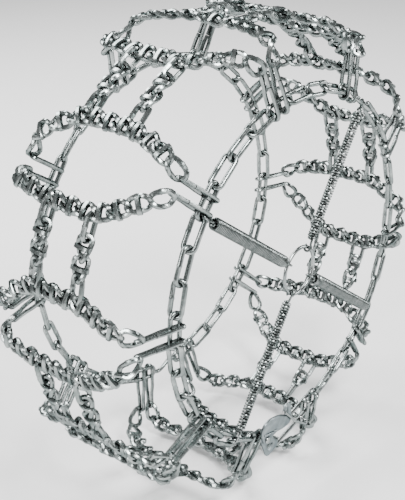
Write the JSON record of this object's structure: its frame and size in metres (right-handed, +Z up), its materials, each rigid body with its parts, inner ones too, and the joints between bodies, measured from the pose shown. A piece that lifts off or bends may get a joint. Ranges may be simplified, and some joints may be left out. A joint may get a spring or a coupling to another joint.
{
  "type": "tire snow chains",
  "caption": "Ladder-pattern snow chain net for a loader tyre, with side chains, barred cross chains, a spring tensioner ring and a lever fastener.",
  "frame": {"origin": "centre of the wheel that the chains are fitted to, on the tyre's middle plane", "axes": "+Z up; Y is the wheel's axis, with the tensioner and lever fastener on the -Y side; X is the direction of travel"},
  "size_m": [0.8259, 0.3186, 0.8261],
  "materials": {
    "zinc_chain": "bright zinc plate, slightly blue-green",
    "zinc_bright": "bright zinc plate",
    "spring_steel": "zinc-plated spring wire, satin",
    "galvanised_plate": "matt galvanised"
  },
  "bodies": {
    "net": {"cross_chain_01": "zinc_chain", "cross_chain_02": "zinc_chain", "cross_chain_03": "zinc_chain", "cross_chain_04": "zinc_chain", "cross_chain_05": "zinc_chain", "cross_chain_06": "zinc_chain", "cross_chain_07": "zinc_chain", "cross_chain_08": "zinc_chain", "cross_chain_09": "zinc_chain", "cross_chain_10": "zinc_chain", "cross_chain_11": "zinc_chain", "cross_chain_12": "zinc_chain", "cross_chain_13": "zinc_chain", "cross_chain_14": "zinc_chain", "cross_chain_15": "zinc_chain", "cross_chain_16": "zinc_chain", "cross_chain_17": "zinc_chain", "cross_chain_18": "zinc_chain", "cross_chain_19": "zinc_chain", "cross_chain_20": "zinc_chain", "tread_rung_01": "zinc_chain", "tread_rung_02": "zinc_chain", "tread_rung_03": "zinc_chain", "tread_rung_04": "zinc_chain", "tread_rung_05": "zinc_chain", "tread_rung_06": "zinc_chain", "tread_rung_07": "zinc_chain", "tread_rung_08": "zinc_chain", "tread_rung_09": "zinc_chain", "tread_rung_10": "zinc_chain", "tread_rung_11": "zinc_chain", "tread_rung_12": "zinc_chain", "tread_rung_13": "zinc_chain", "tread_rung_14": "zinc_chain", "tread_rung_15": "zinc_chain", "tread_rung_16": "zinc_chain", "tread_rung_17": "zinc_chain", "tread_rung_18": "zinc_chain", "tread_rung_19": "zinc_chain", "tread_rung_20": "zinc_chain", "outer_side_chain": "zinc_chain", "inner_side_chain": "zinc_chain", "fastener_hook_plate": "galvanised_plate", "fastener_pivot_pin": "zinc_bright", "long_end_link": "zinc_bright", "inner_closing_hook": "zinc_chain"},
    "ring": {"tensioner_ring": "zinc_bright"},
    "spring_1": {"tension_spring_1": "spring_steel", "spring_hook_1": "zinc_bright"},
    "spring_2": {"tension_spring_2": "spring_steel", "spring_hook_2": "zinc_bright"},
    "spring_3": {"tension_spring_3": "spring_steel", "spring_hook_3": "zinc_bright"},
    "spring_4": {"tension_spring_4": "spring_steel", "spring_hook_4": "zinc_bright"},
    "lever": {"fastener_lever": "galvanised_plate"},
    "keeper": {"lever_keeper": "zinc_bright"}
  },
  "joints": [
    {"name": "lever_swing", "type": "hinge", "parent": "net", "child": "lever", "pos_m": [-0.0925, -0.1615, -0.287], "axis": [0, -1, 0], "range_deg": [0, 110]},
    {"name": "keeper_flip", "type": "hinge", "parent": "net", "child": "keeper", "pos_m": [0.02181, -0.14946, -0.31388], "axis": [0.976, 0, 0.218], "range_deg": [0, 100]},
    {"name": "ring_pull", "type": "slide", "parent": "net", "child": "ring", "axis": [0, -1, 0], "range_m": [0, 0.03], "stiffness_N_per_m": 1500},
    {"name": "spring_1_tilt", "type": "hinge", "parent": "net", "child": "spring_1", "pos_m": [0.16893, -0.154, 0.24306], "axis": [-0.8211, 0, 0.5707], "range_deg": [0, 7.5]},
    {"name": "spring_2_tilt", "type": "hinge", "parent": "net", "child": "spring_2", "pos_m": [-0.23515, -0.154, 0.17978], "axis": [-0.6074, 0, -0.7944], "range_deg": [0, 7.5]},
    {"name": "spring_3_tilt", "type": "hinge", "parent": "net", "child": "spring_3", "pos_m": [-0.16638, -0.154, -0.24482], "axis": [0.8271, 0, -0.5621], "range_deg": [0, 7.5]},
    {"name": "spring_4_tilt", "type": "hinge", "parent": "net", "child": "spring_4", "pos_m": [0.2364, -0.154, -0.17814], "axis": [0.6018, 0, 0.7986], "range_deg": [0, 7.5]}
  ],
  "couplings": [
    {"joint": "spring_1_tilt", "follows": "ring_pull", "rad_per_m": 3.9216},
    {"joint": "spring_2_tilt", "follows": "ring_pull", "rad_per_m": 3.9216},
    {"joint": "spring_3_tilt", "follows": "ring_pull", "rad_per_m": 3.9216},
    {"joint": "spring_4_tilt", "follows": "ring_pull", "rad_per_m": 3.9216}
  ]
}
